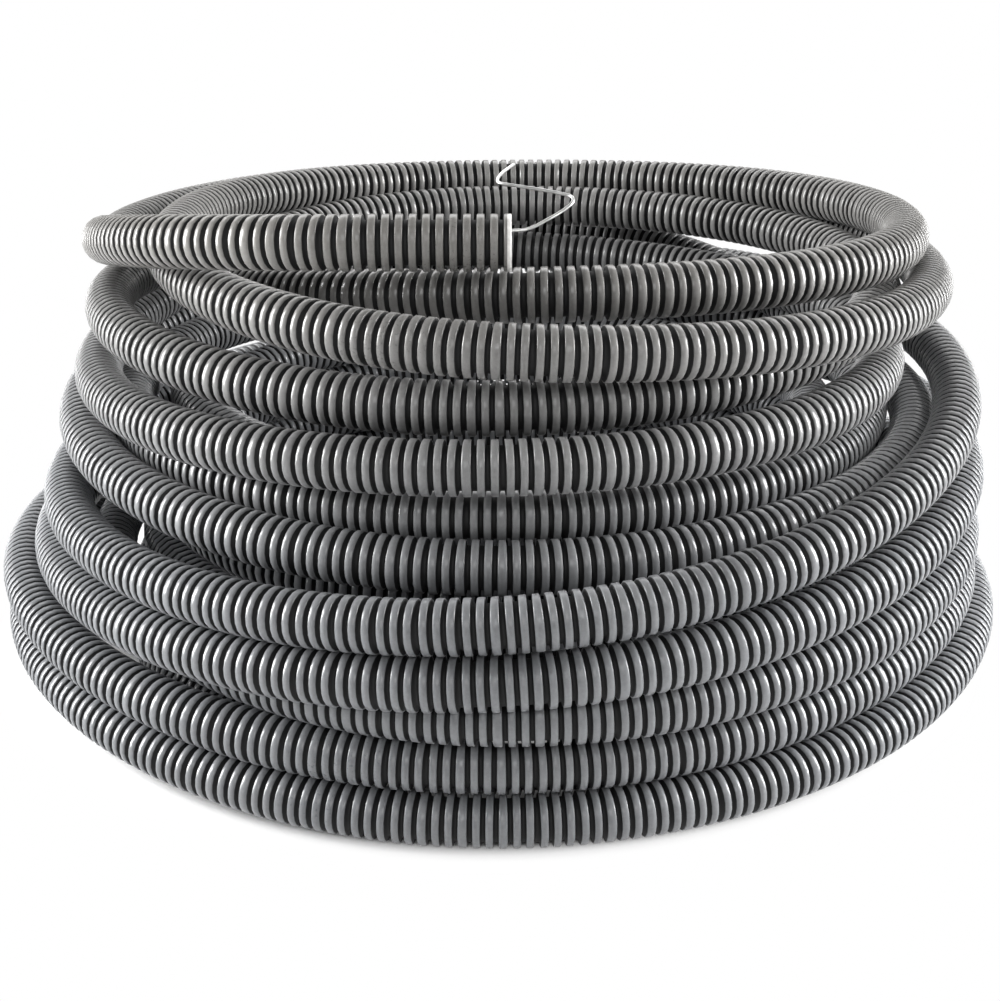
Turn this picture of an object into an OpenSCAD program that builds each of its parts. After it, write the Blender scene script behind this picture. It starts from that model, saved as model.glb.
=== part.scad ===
// A loose coil of light corrugated conduit, laid flat with its eye upright.
// One tube runs from the free end at the top front, clockwise seen from above,
// down the outer layer to the floor, then inwards and up the inner layer.
// A steel draw wire comes out of the free end.
// +X is right, -Y is the front, +Z is up; the origin is on the floor under the middle.

/* [Conduit] */
// Outside diameter over the ribs
od = 20; // [16:0.5:22]
// Thickness of the plastic wall
wall = 0.8; // [0.5:0.1:1]
// Distance from one rib to the next
rib_pitch = 4.7; // [4:0.1:6]
// Flat width of a rib's crest
rib_crest = 2.6; // [2:0.1:2.8]
// Depth of the groove between two ribs
groove_depth = 2.1; // [1:0.1:2.5]

/* [Coil] */
// Width of the widest turn, outside to outside
coil_across = 451; // [440:1:520]
// Space between neighbouring turns
turn_gap = 0.5; // [0.3:0.1:1.5]
// Number of turns in the inner layer
inner_turns = 5.25; // [2:0.25:5.25]

/* [Free end] */
// Number of ribs on the straight open end
end_ribs = 11; // [6:1:12]
// How far the cut edge lies right of the coil's middle
end_reach = 4; // [0:1:20]
// How far the free end lies inside the widest turn, counted in neighbouring tubes
end_inset = 3.22; // [3.16:0.02:3.28]
// How high the free end lies over the floor, counted in neighbouring tubes
end_rise = 9.72; // [9.7:0.02:9.9]

/* [Draw wire] */
// Diameter of the steel draw wire
wire_d = 1.2; // [0.8:0.1:1.6]
// Space between the wire and the inside of the conduit
wire_clear = 0.1; // [0.05:0.05:0.3]
// Direction in which the wire lies against the bore, from the back towards the top
wire_side = 30; // [10:5:45]

/* [Hidden] */
lay = od + turn_gap;                       // distance between neighbouring turns
base_r = coil_across / 2 - od / 2;         // middle of the tube in the widest turn
groove_w = rib_pitch - rib_crest;          // width of a groove at the crests
flank = groove_w / 6;                      // sloping side of a rib, along the tube
groove_r = od / 2 - groove_depth;          // outside radius at the bottom of a groove
bore_r = groove_r - wall;                  // clear radius inside the grooves
end_len = end_ribs * rib_pitch - groove_w; // the free end is cut at the edge of a rib
end_back = end_reach - end_len;            // where the free end passes into the coil
tube_sides = 10;
tube_turn = 360 / tube_sides / 2;          // puts one corner of the tube straight down
per_turn = 24;                             // rings in one turn
per_quarter = per_turn / 4;
wire_sides = 8;

// How the loose turns of the outer layer lie, from the top down. A turn has four
// places, at its front, left, back and right: how far it lies inside the widest turn
// and how high it lies, both counted in neighbouring tubes.
outer_turns = [
    [[3.09, 9.28], [2.38, 8.31], [1.10, 7.96], [1.55, 7.73]],
    [[1.93, 8.17], [3.78, 8.61], [2.80, 8.26], [2.05, 8.59]],
    [[3.62, 8.71], [4.43, 7.71], [3.66, 7.75], [2.67, 7.62]],
    [[2.46, 7.02], [2.37, 7.31], [3.54, 6.61], [2.66, 6.37]],
    [[1.45, 6.29], [2.04, 6.04], [1.32, 6.87], [2.68, 5.17]],
    [[2.23, 5.13], [2.61, 5.15], [1.49, 4.98], [1.67, 4.91]],
    [[1.50, 4.46], [1.57, 5.07], [0.78, 5.89], [0.94, 5.75]],
    [[0.23, 3.96], [1.31, 3.58], [1.03, 3.90], [0.77, 4.22]],
    [[0.16, 2.94], [1.01, 2.53], [0.91, 2.87], [0.66, 2.74]],
    [[0.65, 2.03], [2.15, 2.26], [1.44, 1.97], [0.61, 1.73]],
    [[0.88, 0.98], [0.08, 1.71], [0.00, 1.51], [0.07, 0.81]],
    [[0.71, 0.00], [0.14, 0.71], [0.13, 0.49], [0.87, 0.10]]
];
// The inner layer rises evenly inside the outer one and leans inwards.
inner_start = 2.56;
inner_lean = 0.26;
inner_rise = 1.015;

places = concat(
    [for (turn = outer_turns) each turn],
    [for (i = [0 : inner_turns * 4]) [inner_start + inner_lean * i / 4, inner_rise * i / 4]]
);
last_place = len(places) - 1;
function place(i) = i < 0 ? 2 * places[0] - places[1]
    : i > last_place ? 2 * places[last_place] - places[last_place - 1] : places[i];

// A smooth curve through four neighbouring places, from b to c as t goes from 0 to 1
function smooth(a, b, c, d, t) =
    (2 * b + (c - a) * t + (2 * a - 5 * b + 4 * c - d) * t * t
     + (3 * b - a - 3 * c + d) * t * t * t) / 2;
function lie(q) = let (i = floor(q)) smooth(place(i - 1), place(i), place(i + 1), place(i + 2), q - i);

// A point of the tube's middle line, q quarter turns on from the front
function turn_point(q) = let (p = lie(q), r = base_r - lay * p[0])
    [-r * sin(90 * q), -r * cos(90 * q), od / 2 + lay * max(p[1], 0)];

// The free end runs straight to the left, then bends into the first turn.
first_left = turn_point(1);
end_height = od / 2 + lay * end_rise;
end_front = base_r - lay * end_inset;
function bend_point(a) = [
    end_back + (first_left[0] - end_back) * sin(a),
    -end_front * cos(a),
    first_left[2] + (end_height - first_left[2]) * cos(a)
];

wound_line = concat(
    [for (i = [0 : per_quarter - 1]) bend_point(90 * i / per_quarter)],
    [for (i = [per_quarter : last_place * per_quarter]) turn_point(i / per_quarter)]
);
// The coil stands with the middle of its outline over the origin.
function outline_middle(axis) = let (v = [for (p = wound_line) p[axis]]) (min(v) + max(v)) / 2;
to_origin = -[outline_middle(0), outline_middle(1), 0];
middle_line = [for (p = wound_line) p + to_origin];

// The mouth's middle, and the wire's route counted from it
mouth = [end_reach, -end_front, end_height] + to_origin;
wire_off = bore_r - wire_d / 2 - wire_clear;
wire_in = [0, wire_off * cos(wire_side), wire_off * sin(wire_side)];
wire_route = concat(
    [for (t = [0 : 0.5 : 1]) mouth + [-end_len * (1 - t), 0, 0] + wire_in],
    [for (p = [[6.5, 6, 3.9], [12.9, 9, 6.5], [17.2, 12, 8.4], [21, 14.5, 10.7],
               [21.9, 17, 12.2], [20.2, 19.5, 13.1], [12.1, 23, 14.2], [3.2, 26.5, 15],
               [-3.6, 29.5, 15.6], [-4.9, 33, 16.4], [-3.2, 40, 17.6], [-1, 46, 18.3],
               [1.2, 52, 18.8]]) mouth + p]
);

// A closed tube of n sides along a line of points
module sweep(line, r, n, turn) {
    m = len(line);
    function along(i) = let (d = line[min(i + 1, m - 1)] - line[max(i - 1, 0)]) d / norm(d);
    function ring(i) = let (
        d = i == 0 && n == tube_sides ? [-1, 0, 0] : along(i),
        side = cross(d, [0, 0, 1]) / norm(cross(d, [0, 0, 1])),
        up = cross(side, d)
    ) [for (j = [0 : n - 1]) line[i] + r * (cos(j * 360 / n + turn) * side + sin(j * 360 / n + turn) * up)];
    polyhedron(
        points = [for (i = [0 : m - 1]) each ring(i)],
        faces = concat(
            [for (i = [0 : m - 2]) for (j = [0 : n - 1]) let (k = (j + 1) % n)
                [i * n + j, i * n + k, (i + 1) * n + k, (i + 1) * n + j]],
            [[for (j = [n - 1 : -1 : 0]) j], [for (j = [0 : n - 1]) (m - 1) * n + j]]
        )
    );
}

// Half section of the corrugated wall, from the cut edge back along the tube
module rib_section() {
    rib_side = 0.7 * wall;                 // the wall's thickness along the tube in a rib's side
    outside = [for (i = [0 : end_ribs - 1]) let (z = i * rib_pitch) each concat(
        i == 0 ? [] : [[groove_r, z - groove_w + flank], [groove_r, z - flank]],
        [[od / 2, z], [od / 2, z + rib_crest]]
    )];
    inside = [for (i = [end_ribs - 1 : -1 : 0]) let (z = i * rib_pitch) each concat(
        [[od / 2 - wall, z + rib_crest - (i == end_ribs - 1 ? 0 : rib_side)],
         [od / 2 - wall, z + (i == 0 ? 0 : rib_side)]],
        i == 0 ? [] : [[bore_r, z + rib_side - flank], [bore_r, z - groove_w - rib_side + flank]]
    )];
    polygon(concat(outside, inside));
}

module coil() color("dimgray")
    sweep(middle_line, od / 2, tube_sides, tube_turn);

module free_end() color("gray")
    translate(mouth) rotate([0, -90, 0])
        rotate_extrude($fn = 96) rib_section();

module draw_wire() color("silver")
    sweep(wire_route, wire_d / 2, wire_sides, 0);

coil();
free_end();
draw_wire();
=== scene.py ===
"""A loose coil of corrugated conduit lying on a pale floor, with a draw wire in its open end."""
import math

import bmesh
import bpy
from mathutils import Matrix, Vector


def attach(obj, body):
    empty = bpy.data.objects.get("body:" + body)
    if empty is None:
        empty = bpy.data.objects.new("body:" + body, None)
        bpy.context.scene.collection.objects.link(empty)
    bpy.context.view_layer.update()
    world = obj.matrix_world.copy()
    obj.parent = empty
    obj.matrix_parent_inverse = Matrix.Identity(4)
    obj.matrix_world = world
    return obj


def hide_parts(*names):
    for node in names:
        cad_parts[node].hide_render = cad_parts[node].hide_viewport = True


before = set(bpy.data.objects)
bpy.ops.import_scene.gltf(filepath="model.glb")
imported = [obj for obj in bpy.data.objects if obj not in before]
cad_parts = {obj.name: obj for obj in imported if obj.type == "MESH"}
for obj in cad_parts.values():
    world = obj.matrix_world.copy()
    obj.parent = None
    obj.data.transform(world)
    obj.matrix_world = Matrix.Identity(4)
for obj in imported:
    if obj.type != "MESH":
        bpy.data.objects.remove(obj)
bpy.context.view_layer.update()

MM = 0.001

# Conduit
OD = 20 * MM
WALL = 0.8 * MM
RIB_PITCH = 4.7 * MM
RIB_CREST = 2.6 * MM
GROOVE_DEPTH = 2.1 * MM
RIB_ROUND = 0.22 * MM       # corner of a rib's crest
SAWN_BAND = 1.5 * MM        # width of the pale edge round a sawn end
SAWN_CORNER = 0.12 * MM     # corner of a sawn end
BORE_SKIN = 0.7 * WALL      # wall left between a rib's outside and its inside
GROOVE_W = RIB_PITCH - RIB_CREST
FLANK = GROOVE_W / 6
BORE_R = OD / 2 - GROOVE_DEPTH - WALL

# Coil
BASE_R = 451 * MM / 2 - OD / 2      # middle of the tube in the widest turn
LAY = 20.5 * MM                     # from a tube to its neighbour
INNER_TURNS = 5.25
INNER_START = 2.56                  # inset of the inner layer's foot, in neighbouring tubes
INNER_LEAN = 0.26                   # further inset with each turn
INNER_RISE = 1.015                  # rise with each turn
END_RIBS = 11
END_REACH = 4 * MM                  # how far the mouth stands right of the coil's middle
END_INSET = 3.22                    # place of the straight end, in neighbouring tubes
END_RISE = 9.72
END_LEN = END_RIBS * RIB_PITCH - GROOVE_W

# How the loose outer turns lie, from the top down, at their front, left, back and right:
# how far inside the widest turn and how high, in neighbouring tubes
OUTER_TURNS = [
    [(3.09, 9.28), (2.38, 8.31), (1.10, 7.96), (1.55, 7.73)],
    [(1.93, 8.17), (3.78, 8.61), (2.80, 8.26), (2.05, 8.59)],
    [(3.62, 8.71), (4.43, 7.71), (3.66, 7.75), (2.67, 7.62)],
    [(2.46, 7.02), (2.37, 7.31), (3.54, 6.61), (2.66, 6.37)],
    [(1.45, 6.29), (2.04, 6.04), (1.32, 6.87), (2.68, 5.17)],
    [(2.23, 5.13), (2.61, 5.15), (1.49, 4.98), (1.67, 4.91)],
    [(1.50, 4.46), (1.57, 5.07), (0.78, 5.89), (0.94, 5.75)],
    [(0.23, 3.96), (1.31, 3.58), (1.03, 3.90), (0.77, 4.22)],
    [(0.16, 2.94), (1.01, 2.53), (0.91, 2.87), (0.66, 2.74)],
    [(0.65, 2.03), (2.15, 2.26), (1.44, 1.97), (0.61, 1.73)],
    [(0.88, 0.98), (0.08, 1.71), (0.00, 1.51), (0.07, 0.81)],
    [(0.71, 0.00), (0.14, 0.71), (0.13, 0.49), (0.87, 0.10)],
]
STEPS_PER_QUARTER = 24
OUTLINE_STEPS = 6           # steps in a quarter turn when the outline's middle is found

# How finely each stretch is made
OUTER_STRETCHES = 5
OUTER_SIDES = 20
INNER_SIDES = 14
MOUTH_SIDES = 40
TAIL_SIDES = 24
TAIL_RIBS = 8

# Draw wire: its bends are counted from the middle of the mouth, in millimetres
WIRE_D = 1.2 * MM
WIRE_CLEAR = 0.1 * MM
WIRE_SIDE = math.radians(30)
WIRE_STEPS = 8
WIRE_SIDES = 12
WIRE_BENDS = [
    (6.5, 6, 3.9), (12.9, 9, 6.5), (17.2, 12, 8.4), (21, 14.5, 10.7), (21.9, 17, 12.2),
    (20.2, 19.5, 13.1), (12.1, 23, 14.2), (3.2, 26.5, 15), (-3.6, 29.5, 15.6), (-4.9, 33, 16.4),
    (-3.2, 40, 17.6), (-1, 46, 18.3), (1.2, 52, 18.8),
]

# Colours of the darker and the paler patches, with the mottling value that each one has
# The cool and the warm copies of the grey are painted light: warm where the light falls on the
# upper turns, cool low down
COOL_GREY = [(0.35, (0.142, 0.147, 0.155)), (0.65, (0.192, 0.197, 0.205))]
WARM_GREY = [(0.35, (0.152, 0.147, 0.139)), (0.65, (0.205, 0.199, 0.189))]
SAWN_PALE = [(0.3, (0.55, 0.54, 0.52)), (0.7, (0.78, 0.77, 0.75))]
DRAWN_STEEL = [(0.3, (0.68, 0.68, 0.67)), (0.7, (0.86, 0.86, 0.85))]
# Painted shade: the near-black colour the grooves take, standing in for the shade that falls in
# them
GROOVE_PAINTED_SHADE = (0.004, 0.004, 0.0045, 1)
PAINTED_COOL_BELOW = 0.09           # height under which the grey takes a painted cool tint of the light
PAINTED_WARM_ABOVE = 0.21           # height over which it takes a painted warm tint of the light

# Camera and lamps
CAMERA_PLACE = (-0.0001, -0.7416, 0.331)
CAMERA_DOWN = math.radians(20.2)
CAMERA_LENS = 61.7
LAMP_TARGET = (0, 0, 0.1)
# Each lamp: name, place, width, height, power
LAMPS = [
    ("left_softbox", (-1.4, 0.0, 0.5), 0.5, 1.0, 54),
    ("right_softbox", (1.4, 0.0, 0.5), 0.5, 1.0, 54),
    ("front_softbox", (0, -1.6, 1.1), 1.2, 0.6, 12),
    ("back_softbox", (0, 1.4, 1.2), 2.4, 0.8, 20),
]
ROOM_LIGHT = 0.12           # how strongly the white room lights the coil

# Floor: how much of its white glow shows, by the distance from the middle of the coil's foot; the
# glow covers the floor's real shadow away from the foot, and inside the coil it is painted light
# that lifts the real shade a little
FOOT_MIDDLE = (-0.0075, 0.0045, 0)
FLOOR_WHITE = [
    (0.0, 0.2), (0.2, 0.0), (0.209, 0.0), (0.2125, 0.6), (0.217, 0.94), (0.226, 1.0),
]
FLOOR_HALF = 12.0


# ---------------------------------------------------------------- camera
def aim(item, target):
    direction = Vector(target) - item.location
    item.rotation_euler = direction.to_track_quat("-Z", "Y").to_euler()


def add_camera():
    data = bpy.data.cameras.new("camera")
    data.sensor_fit = "HORIZONTAL"
    data.sensor_width = 36.0
    data.lens = CAMERA_LENS
    cam = bpy.data.objects.new("camera", data)
    bpy.context.scene.collection.objects.link(cam)
    cam.location = CAMERA_PLACE
    cam.rotation_euler = (math.pi / 2 - CAMERA_DOWN, 0, 0)
    bpy.context.scene.camera = cam


# ---------------------------------------------------------------- route of the tube
def coil_places():
    """The inset and height of the tube at each quarter turn, outer layer first."""
    outer = [place for turn in OUTER_TURNS for place in turn]
    count = int(INNER_TURNS * 4)
    inner = [(INNER_START + INNER_LEAN * i / 4, INNER_RISE * i / 4) for i in range(count + 1)]
    return outer + inner


PLACES = coil_places()


def place(i):
    """One of those, or where the line would go on past either end."""
    last = len(PLACES) - 1
    if i < 0:
        return tuple(2 * a - b for a, b in zip(PLACES[0], PLACES[1]))
    if i > last:
        return tuple(2 * a - b for a, b in zip(PLACES[last], PLACES[last - 1]))
    return PLACES[i]


def smooth(a, b, c, d, t):
    """A smooth curve through four neighbouring values, from b to c as t goes from 0 to 1."""
    return (2 * b + (c - a) * t + (2 * a - 5 * b + 4 * c - d) * t ** 2
            + (3 * b - a - 3 * c + d) * t ** 3) / 2


def turn_point(q):
    """A point of the tube's middle line, q quarter turns on from the front."""
    i = int(q)
    near = [place(i + k) for k in (-1, 0, 1, 2)]
    inset, height = (smooth(*[n[axis] for n in near], q - i) for axis in (0, 1))
    r = BASE_R - LAY * inset
    a = q * math.pi / 2
    return Vector((-r * math.sin(a), -r * math.cos(a), OD / 2 + LAY * max(height, 0)))


def bend_point(a):
    """The bend from the straight free end into the first turn."""
    left = turn_point(1)
    back = END_REACH - END_LEN
    height = OD / 2 + LAY * END_RISE
    return Vector((
        back + (left.x - back) * math.sin(a),
        -(BASE_R - LAY * END_INSET) * math.cos(a),
        left.z + (height - left.z) * math.cos(a),
    ))


def wound_line(steps):
    """The middle line of the bend and all the turns, with so many steps in a quarter turn."""
    bend = [bend_point(math.pi / 2 * i / steps) for i in range(steps)]
    turns = [turn_point(i / steps) for i in range(steps, (len(PLACES) - 1) * steps + 1)]
    return bend + turns


def to_origin():
    """The move that puts the middle of the coil's outline over the origin."""
    line = wound_line(OUTLINE_STEPS)
    middle = [(min(p[k] for p in line) + max(p[k] for p in line)) / 2 for k in (0, 1)]
    return Vector((-middle[0], -middle[1], 0))


SHIFT = to_origin()
MOUTH = bend_point(0) + Vector((END_LEN, 0, 0)) + SHIFT
TUBE_LINE = [MOUTH] + [p + SHIFT for p in wound_line(STEPS_PER_QUARTER)]


def lengths_along(line):
    total = [0.0]
    for a, b in zip(line, line[1:]):
        total.append(total[-1] + (b - a).length)
    return total


TUBE_S = lengths_along(TUBE_LINE)
TUBE_LENGTH = TUBE_S[-1]


# ---------------------------------------------------------------- ribbed tube by Geometry Nodes
# One rib's rings: place along the tube from the start of its crest, radius
RIB_RINGS = [
    (0.0, OD / 2 - RIB_ROUND),
    (RIB_ROUND, OD / 2),
    (RIB_CREST - RIB_ROUND, OD / 2),
    (RIB_CREST, OD / 2 - RIB_ROUND),
    (RIB_CREST + FLANK, OD / 2 - GROOVE_DEPTH),
    (RIB_PITCH - FLANK, OD / 2 - GROOVE_DEPTH),
]


def in_groove(radius):
    """1 on a ring that lies in a groove, 0 on one that lies on a crest."""
    return float(radius < OD / 2 - RIB_ROUND)


class Tree:
    """A small helper that adds nodes to a node tree and links them."""

    def __init__(self, group):
        self.group = group

    def add(self, kind, settings=None, **values):
        node = self.group.nodes.new(kind)
        for name, value in (settings or {}).items():
            setattr(node, name, value)
        for key, value in values.items():
            self.feed(node.inputs[key], value)
        return node

    def feed(self, socket, value):
        if isinstance(value, bpy.types.NodeSocket):
            self.group.links.new(value, socket)
        else:
            socket.default_value = value


def ribbed_tube_tree():
    """A tree that sweeps ribs along the line it is given, with its sizes as named inputs."""
    group = bpy.data.node_groups.new("ribbed_tube", "GeometryNodeTree")
    face = group.interface
    face.new_socket("Geometry", in_out="INPUT", socket_type="NodeSocketGeometry")
    for name, kind in (("First Rib", "Int"), ("Ribs", "Int"), ("Sides", "Int"),
                       ("Pitch", "Float")):
        face.new_socket(name, in_out="INPUT", socket_type="NodeSocket" + kind)
    face.new_socket("Material", in_out="INPUT", socket_type="NodeSocketMaterial")
    face.new_socket("Geometry", in_out="OUTPUT", socket_type="NodeSocketGeometry")
    t = Tree(group)
    given = t.add("NodeGroupInput").outputs
    rings = len(RIB_RINGS)

    def math_node(operation, a, b=0.0):
        node = t.add("ShaderNodeMath", {"operation": operation})
        t.feed(node.inputs[0], a)
        t.feed(node.inputs[1], b)
        return node.outputs[0]

    def pick(values, index):
        node = t.add("GeometryNodeIndexSwitch", {"data_type": "FLOAT"})
        while len(node.index_switch_items) < len(values):
            node.index_switch_items.new()
        t.feed(node.inputs["Index"], index)
        for i, value in enumerate(values):
            node.inputs[1 + i].default_value = value
        return node.outputs[0]

    index = t.add("GeometryNodeInputIndex").outputs[0]
    rib = math_node("FLOOR", math_node("DIVIDE", math_node("ADD", index, 0.5), float(rings)))
    ring = math_node("SUBTRACT", index, math_node("MULTIPLY", rib, float(rings)))
    rib_start = math_node("MULTIPLY", math_node("ADD", rib, given["First Rib"]), given["Pitch"])
    along = math_node("ADD", rib_start, pick([r[0] for r in RIB_RINGS], ring))
    radius = pick([r[1] for r in RIB_RINGS], ring)
    groove = pick([in_groove(r[1]) for r in RIB_RINGS], ring)

    line = t.add("GeometryNodeMeshToCurve", Mesh=given["Geometry"]).outputs[0]
    sample = t.add("GeometryNodeSampleCurve", {"mode": "LENGTH", "use_all_curves": True})
    t.feed(sample.inputs["Curves"], line)
    t.feed(sample.inputs["Length"], along)
    points = t.add("GeometryNodeMeshLine",
                   Count=math_node("ADD", math_node("MULTIPLY", given["Ribs"], float(rings)), 1.0))
    moved = t.add("GeometryNodeSetPosition", Geometry=points.outputs[0],
                  Position=sample.outputs["Position"]).outputs[0]
    marked = moved
    for name, value in (("groove", groove), ("ring_radius", radius)):
        store = t.add("GeometryNodeStoreNamedAttribute", {"data_type": "FLOAT", "domain": "POINT"},
                      Geometry=marked, Name=name)
        t.feed(store.inputs["Value"], value)
        marked = store.outputs[0]
    curve = t.add("GeometryNodeMeshToCurve", Mesh=marked).outputs[0]
    read = t.add("GeometryNodeInputNamedAttribute", {"data_type": "FLOAT"}, Name="ring_radius")
    circle = t.add("GeometryNodeCurvePrimitiveCircle", {"mode": "RADIUS"},
                   Resolution=given["Sides"], Radius=1.0).outputs[0]
    tube = t.add("GeometryNodeCurveToMesh", Curve=curve)
    t.feed(tube.inputs["Profile Curve"], circle)
    t.feed(tube.inputs["Scale"], read.outputs[0])
    t.feed(tube.inputs["Fill Caps"], True)
    soft = t.add("GeometryNodeSetShadeSmooth", Geometry=tube.outputs[0])
    real = t.add("GeometryNodeRealizeInstances", Geometry=soft.outputs[0])
    finish = t.add("GeometryNodeSetMaterial", Geometry=real.outputs[0], Material=given["Material"])
    out = t.add("NodeGroupOutput")
    t.feed(out.inputs[0], finish.outputs[0])
    return group


def line_mesh(name, points):
    mesh = bpy.data.meshes.new(name)
    mesh.from_pydata([tuple(p) for p in points], [(i, i + 1) for i in range(len(points) - 1)], [])
    return mesh


def new_piece(name, mesh):
    piece = bpy.data.objects.new(name, mesh)
    bpy.context.scene.collection.objects.link(piece)
    return piece


def ribbed_tube(name, tree, first_rib, ribs, sides, material):
    """One stretch of the conduit, from one rib to another, as a plain mesh."""
    piece = new_piece(name, line_mesh(name, TUBE_LINE))
    modifier = piece.modifiers.new("ribs", "NODES")
    modifier.node_group = tree
    values = {"First Rib": first_rib, "Ribs": ribs, "Sides": sides, "Pitch": RIB_PITCH,
              "Material": material}
    for socket in tree.interface.items_tree:
        if socket.in_out == "INPUT" and socket.name in values:
            modifier[socket.identifier] = values[socket.name]
    view = bpy.context.evaluated_depsgraph_get()
    mesh = bpy.data.meshes.new_from_object(piece.evaluated_get(view), depsgraph=view)
    piece.modifiers.clear()
    old = piece.data
    piece.data = mesh
    bpy.data.meshes.remove(old)
    mesh.name = name
    return piece


# ---------------------------------------------------------------- swept pieces
def tube_at(s):
    """The middle of the conduit s metres from the mouth, and its direction there."""
    s = min(max(s, 0.0), TUBE_LENGTH)
    low, high = 0, len(TUBE_S) - 1
    while high - low > 1:
        mid = (low + high) // 2
        low, high = (mid, high) if TUBE_S[mid] <= s else (low, mid)
    a, b = TUBE_LINE[low], TUBE_LINE[high]
    t = (s - TUBE_S[low]) / (TUBE_S[high] - TUBE_S[low])
    return a.lerp(b, t), (b - a).normalized()


def ring_of(bm, centre, direction, radius, sides, groove=0.0):
    """A ring of points square to its direction, marked 1 where it lies in a groove."""
    side = direction.cross(Vector((0, 0, 1))).normalized()
    up = side.cross(direction)
    mask = bm.verts.layers.float.get("groove") or bm.verts.layers.float.new("groove")
    ring = []
    for k in range(sides):
        a = 2 * math.pi * k / sides
        vert = bm.verts.new(centre + radius * (math.cos(a) * side + math.sin(a) * up))
        vert[mask] = groove
        ring.append(vert)
    return ring


def join_rings(bm, a, b, slot=0):
    n = len(a)
    for k in range(n):
        face = bm.faces.new((a[k], a[(k + 1) % n], b[(k + 1) % n], b[k]))
        face.material_index = slot
        face.smooth = True


def finished_mesh(bm, name, materials):
    bmesh.ops.recalc_face_normals(bm, faces=bm.faces)
    mesh = bpy.data.meshes.new(name)
    bm.to_mesh(mesh)
    bm.free()
    for material in materials:
        mesh.materials.append(material)
    return mesh


def open_end(name, cut_at, inwards, ribs, last_groove, sides, materials):
    """An open end of the conduit: ribs outside, a sawn edge, and a ribbed bore closed inside."""
    # outside from the sawn edge back: place, radius, groove mask
    crest = OD / 2 - RIB_ROUND
    outer = [(0.0, OD / 2 - SAWN_CORNER, 0.0), (SAWN_CORNER, OD / 2, 0.0),
             (SAWN_BAND, OD / 2, 0.0)]
    for i in range(ribs):
        outer += [(i * RIB_PITCH + s, r, in_groove(r)) for s, r in RIB_RINGS
                  if i or s > SAWN_BAND]
    outer = outer + [(ribs * RIB_PITCH, crest, 0.0)] if last_groove else outer[:-2]
    # inside from the sawn edge back
    inner = []
    for i in range(ribs):
        start = i * RIB_PITCH
        if i:
            inner += [(start - GROOVE_W - BORE_SKIN + FLANK, BORE_R),
                      (start + BORE_SKIN - FLANK, BORE_R)]
        inner += [(start + (BORE_SKIN if i else 0), OD / 2 - WALL),
                  (start + RIB_CREST - BORE_SKIN, OD / 2 - WALL)]
    bm = bmesh.new()
    rings = []
    for s, r, groove in list(reversed(outer)) + [(s, r, 0.0) for s, r in inner]:
        centre, direction = tube_at(cut_at + inwards * s)
        rings.append(ring_of(bm, centre, direction, r, sides, groove))
    # the flat sawn face, and the corner and pale band outside it, take the second material
    sawn = len(outer) - 1
    for k, (a, b) in enumerate(zip(rings, rings[1:])):
        join_rings(bm, a, b, 1 if sawn - 2 <= k <= sawn else 0)
    bm.faces.new(rings[0])
    bm.faces.new(rings[-1])
    return new_piece(name, finished_mesh(bm, name, materials))


def wire_line():
    """From the inner end of the straight length, along the bore's side and out to the curl."""
    off = BORE_R - WIRE_D / 2 - WIRE_CLEAR
    rest = Vector((0, off * math.cos(WIRE_SIDE), off * math.sin(WIRE_SIDE)))
    knots = [MOUTH + Vector((-END_LEN * t, 0, 0)) + rest for t in (1, 0.5, 0)]
    knots += [MOUTH + Vector(p) * MM for p in WIRE_BENDS]
    knots = [2 * knots[0] - knots[1]] + knots + [2 * knots[-1] - knots[-2]]
    line = []
    for a, b, c, d in zip(knots, knots[1:], knots[2:], knots[3:]):
        line += [Vector([smooth(a[k], b[k], c[k], d[k], i / WIRE_STEPS) for k in range(3)])
                 for i in range(WIRE_STEPS)]
    return line + [knots[-2]]


def draw_wire(material):
    line = wire_line()
    bm = bmesh.new()
    rings = []
    for i, p in enumerate(line):
        direction = (line[min(i + 1, len(line) - 1)] - line[max(i - 1, 0)]).normalized()
        rings.append(ring_of(bm, p, direction, WIRE_D / 2, WIRE_SIDES))
    for a, b in zip(rings, rings[1:]):
        join_rings(bm, a, b)
    bm.faces.new(rings[0])
    bm.faces.new(rings[-1])
    return new_piece("draw_wire_steel", finished_mesh(bm, "draw_wire_steel", [material]))


# ---------------------------------------------------------------- materials
def new_material(name):
    material = bpy.data.materials.new(name)
    material.use_nodes = True
    material.node_tree.nodes.clear()
    return material, Tree(material.node_tree)


def finish_material(t, shader):
    out = t.add("ShaderNodeOutputMaterial")
    t.feed(out.inputs["Surface"], shader)


def mottling_group():
    """Soft patches and fine grain, as a value around 0.5, over the object's own coordinates."""
    group = bpy.data.node_groups.new("mottling", "ShaderNodeTree")
    face = group.interface
    for name, value in (("Patch Scale", 12.0), ("Grain Scale", 900.0), ("Grain Share", 0.35)):
        socket = face.new_socket(name, in_out="INPUT", socket_type="NodeSocketFloat")
        socket.default_value = value
    face.new_socket("Value", in_out="OUTPUT", socket_type="NodeSocketFloat")
    face.new_socket("Grain", in_out="OUTPUT", socket_type="NodeSocketFloat")
    t = Tree(group)
    given = t.add("NodeGroupInput").outputs
    where = t.add("ShaderNodeTexCoord").outputs["Object"]
    patch = t.add("ShaderNodeTexNoise", Vector=where, Scale=given["Patch Scale"], Detail=3.0)
    grain = t.add("ShaderNodeTexNoise", Vector=where, Scale=given["Grain Scale"], Detail=2.0)
    mix = t.add("ShaderNodeMix", {"data_type": "FLOAT"})
    t.feed(mix.inputs[0], given["Grain Share"])
    t.feed(mix.inputs[2], patch.outputs[0])
    t.feed(mix.inputs[3], grain.outputs[0])
    out = t.add("NodeGroupOutput")
    t.feed(out.inputs["Value"], mix.outputs[0])
    t.feed(out.inputs["Grain"], grain.outputs[0])
    return group


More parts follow.
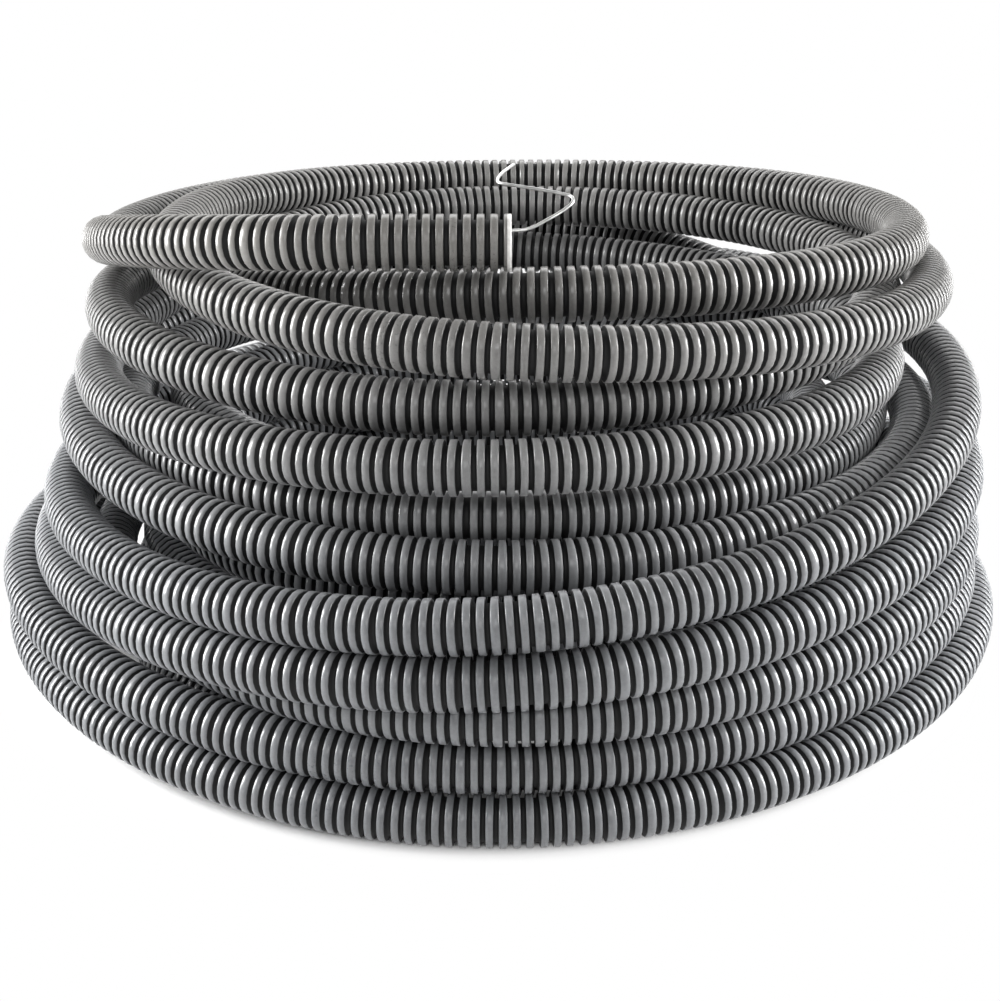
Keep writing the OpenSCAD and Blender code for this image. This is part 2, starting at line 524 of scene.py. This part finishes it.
def ramp(t, value, stops):
    node = t.add("ShaderNodeValToRGB")
    t.feed(node.inputs[0], value)
    elements = node.color_ramp.elements
    while len(elements) < len(stops):
        elements.new(0.5)
    for element, (at, colour) in zip(elements, stops):
        element.position = at
        element.color = (*colour, 1)
    return node.outputs[0]


def conduit_material(mottling):
    """Satin grey plastic with painted light: a cooler tint low down and a warmer one on top; the
    grooves are dull and hold painted shade.
    """
    material, t = new_material("conduit_plastic_grey")
    spots = t.add("ShaderNodeGroup", {"node_tree": mottling})
    where = t.add("ShaderNodeTexCoord").outputs["Object"]
    height = t.add("ShaderNodeSeparateXYZ", Vector=where).outputs[2]
    # Painted light: the grey shifts from the cool copy low down to the warm copy on top
    up = t.add("ShaderNodeMapRange", Value=height)
    up.inputs["From Min"].default_value = PAINTED_COOL_BELOW
    up.inputs["From Max"].default_value = PAINTED_WARM_ABOVE
    cool = ramp(t, spots.outputs["Value"], COOL_GREY)
    warm = ramp(t, spots.outputs["Value"], WARM_GREY)
    body = t.add("ShaderNodeMix", {"data_type": "RGBA"})
    t.feed(body.inputs[0], up.outputs[0])
    t.feed(body.inputs[6], cool)
    t.feed(body.inputs[7], warm)
    # Painted shade: below the crests the grey turns near-black, as shade falls in the grooves; the
    # grooves are also made duller
    groove = t.add("ShaderNodeAttribute", {"attribute_name": "groove"}).outputs["Fac"]
    groove_shade_and_dull = t.add("ShaderNodeMapRange", Value=groove)
    groove_shade_and_dull.inputs["From Max"].default_value = 0.15
    grey_with_groove_shade = t.add("ShaderNodeMix", {"data_type": "RGBA"})
    t.feed(grey_with_groove_shade.inputs[0], groove_shade_and_dull.outputs[0])
    t.feed(grey_with_groove_shade.inputs[6], body.outputs[2])
    grey_with_groove_shade.inputs[7].default_value = GROOVE_PAINTED_SHADE
    rough = t.add("ShaderNodeMapRange", Value=spots.outputs["Value"])
    rough.inputs["To Min"].default_value = 0.24
    rough.inputs["To Max"].default_value = 0.34
    dull = t.add("ShaderNodeMix", {"data_type": "FLOAT"})
    t.feed(dull.inputs[0], groove_shade_and_dull.outputs[0])
    t.feed(dull.inputs[2], rough.outputs[0])
    dull.inputs[3].default_value = 0.7
    bump = t.add("ShaderNodeBump", Height=spots.outputs["Grain"], Strength=0.12, Distance=0.0002)
    shader = t.add("ShaderNodeBsdfPrincipled", Roughness=dull.outputs[0], Normal=bump.outputs[0])
    t.feed(shader.inputs["Base Color"], grey_with_groove_shade.outputs[2])
    shader.inputs["IOR"].default_value = 1.5
    finish_material(t, shader.outputs[0])
    return material


def cut_edge_material(mottling):
    """The sawn edge of the wall, paler than the skin and a little rough."""
    material, t = new_material("conduit_cut_edge")
    spots = t.add("ShaderNodeGroup", {"node_tree": mottling})
    spots.inputs["Patch Scale"].default_value = 400.0
    colour = ramp(t, spots.outputs["Value"], SAWN_PALE)
    bump = t.add("ShaderNodeBump", Height=spots.outputs["Grain"], Strength=0.4, Distance=0.0002)
    shader = t.add("ShaderNodeBsdfPrincipled", Roughness=0.7, Normal=bump.outputs[0])
    t.feed(shader.inputs["Base Color"], colour)
    finish_material(t, shader.outputs[0])
    return material


def wire_material(mottling):
    """Bright drawn steel with faint dull patches."""
    material, t = new_material("draw_wire_bright")
    spots = t.add("ShaderNodeGroup", {"node_tree": mottling})
    spots.inputs["Patch Scale"].default_value = 300.0
    colour = ramp(t, spots.outputs["Value"], DRAWN_STEEL)
    rough = t.add("ShaderNodeMapRange", Value=spots.outputs["Value"])
    rough.inputs["To Min"].default_value = 0.25
    rough.inputs["To Max"].default_value = 0.45
    shader = t.add("ShaderNodeBsdfPrincipled", Roughness=rough.outputs[0], Metallic=1.0)
    t.feed(shader.inputs["Base Color"], colour)
    finish_material(t, shader.outputs[0])
    return material


# ---------------------------------------------------------------- stage and light
def floor_material():
    """Pale floor that shows its real shade under and inside the coil, lifted a little inside by
    painted light, and plain white away from it.
    """
    material, t = new_material("pale_floor")
    path = t.add("ShaderNodeLightPath").outputs
    seen = t.add("ShaderNodeMath", {"operation": "MAXIMUM"})
    t.feed(seen.inputs[0], path["Is Camera Ray"])
    t.feed(seen.inputs[1], path["Is Glossy Ray"])
    seen_too = t.add("ShaderNodeMath", {"operation": "MAXIMUM"})
    t.feed(seen_too.inputs[0], seen.outputs[0])
    t.feed(seen_too.inputs[1], path["Is Transmission Ray"])
    where = t.add("ShaderNodeTexCoord").outputs["Object"]
    foot = t.add("ShaderNodeVectorMath", {"operation": "SUBTRACT"})
    t.feed(foot.inputs[0], where)
    foot.inputs[1].default_value = FOOT_MIDDLE
    reach = t.add("ShaderNodeVectorMath", {"operation": "LENGTH"})
    t.feed(reach.inputs[0], foot.outputs[0])
    away = ramp(t, reach.outputs["Value"], [(at, (white,) * 3) for at, white in FLOOR_WHITE])
    share = t.add("ShaderNodeMath", {"operation": "MULTIPLY"})
    t.feed(share.inputs[0], seen_too.outputs[0])
    t.feed(share.inputs[1], away)
    plain = t.add("ShaderNodeBsdfPrincipled", Roughness=0.9)
    plain.inputs["Base Color"].default_value = (0.9, 0.9, 0.9, 1)
    plain.inputs["Specular IOR Level"].default_value = 0.0
    glow = t.add("ShaderNodeEmission")
    glow.inputs[0].default_value = (1, 1, 1, 1)
    glow.inputs[1].default_value = 1.0
    both = t.add("ShaderNodeMixShader")
    t.feed(both.inputs[0], share.outputs[0])
    t.feed(both.inputs[1], plain.outputs[0])
    t.feed(both.inputs[2], glow.outputs[0])
    finish_material(t, both.outputs[0])
    return material


def add_floor():
    mesh = bpy.data.meshes.new("floor")
    signs = ((-1, -1), (1, -1), (1, 1), (-1, 1))
    corners = [(x * FLOOR_HALF, y * FLOOR_HALF, 0) for x, y in signs]
    mesh.from_pydata(corners, [], [(0, 1, 2, 3)])
    mesh.materials.append(floor_material())
    new_piece("floor", mesh)


def add_world():
    world = bpy.data.worlds.new("studio")
    bpy.context.scene.world = world
    world.use_nodes = True
    world.node_tree.nodes.clear()
    t = Tree(world.node_tree)
    path = t.add("ShaderNodeLightPath").outputs
    strength = t.add("ShaderNodeMapRange", Value=path["Is Camera Ray"])
    strength.inputs["To Min"].default_value = ROOM_LIGHT
    strength.inputs["To Max"].default_value = 1.0
    back = t.add("ShaderNodeBackground")
    back.inputs[0].default_value = (1, 1, 1, 1)
    t.feed(back.inputs[1], strength.outputs[0])
    out = t.add("ShaderNodeOutputWorld")
    t.feed(out.inputs[0], back.outputs[0])


def add_lights():
    for name, location, width, height, power in LAMPS:
        data = bpy.data.lights.new(name, "AREA")
        data.shape = "RECTANGLE"
        data.size = width
        data.size_y = height
        data.energy = power
        lamp = bpy.data.objects.new(name, data)
        bpy.context.scene.collection.objects.link(lamp)
        lamp.location = location
        aim(lamp, LAMP_TARGET)


# ---------------------------------------------------------------- the build
def build():
    add_camera()
    mottling = mottling_group()
    grey = conduit_material(mottling)
    edge = cut_edge_material(mottling)
    steel = wire_material(mottling)
    tree = ribbed_tube_tree()

    total_ribs = int((TUBE_LENGTH - RIB_CREST) / RIB_PITCH) + 1
    outer_line = wound_line(STEPS_PER_QUARTER)[:len(OUTER_TURNS) * 4 * STEPS_PER_QUARTER]
    outer_ribs = int((END_LEN + lengths_along(outer_line)[-1]) / RIB_PITCH)
    per_stretch = math.ceil((outer_ribs - END_RIBS) / OUTER_STRETCHES)
    pieces = []
    start = END_RIBS
    for i in range(OUTER_STRETCHES):
        ribs = min(per_stretch, outer_ribs - start)
        pieces.append(ribbed_tube(f"outer_turns_{i + 1}", tree, start, ribs, OUTER_SIDES, grey))
        start += ribs
    pieces.append(ribbed_tube(
        "inner_turns", tree, start, total_ribs - TAIL_RIBS - start, INNER_SIDES, grey))

    mouth = open_end("mouth", 0.0, 1, END_RIBS, True, MOUTH_SIDES, [grey, edge])
    tail_cut = (total_ribs - 1) * RIB_PITCH + RIB_CREST
    tail = open_end("tail", tail_cut, -1, TAIL_RIBS, False, TAIL_SIDES, [grey, edge])
    wire = draw_wire(steel)
    for piece in pieces + [tail]:
        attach(piece, "root")
        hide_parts("coil")
    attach(mouth, "root")
    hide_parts("free_end")
    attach(wire, "root")
    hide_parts("draw_wire")


build()
add_floor()
add_world()
add_lights()
bpy.context.scene.view_settings.view_transform = "Standard"
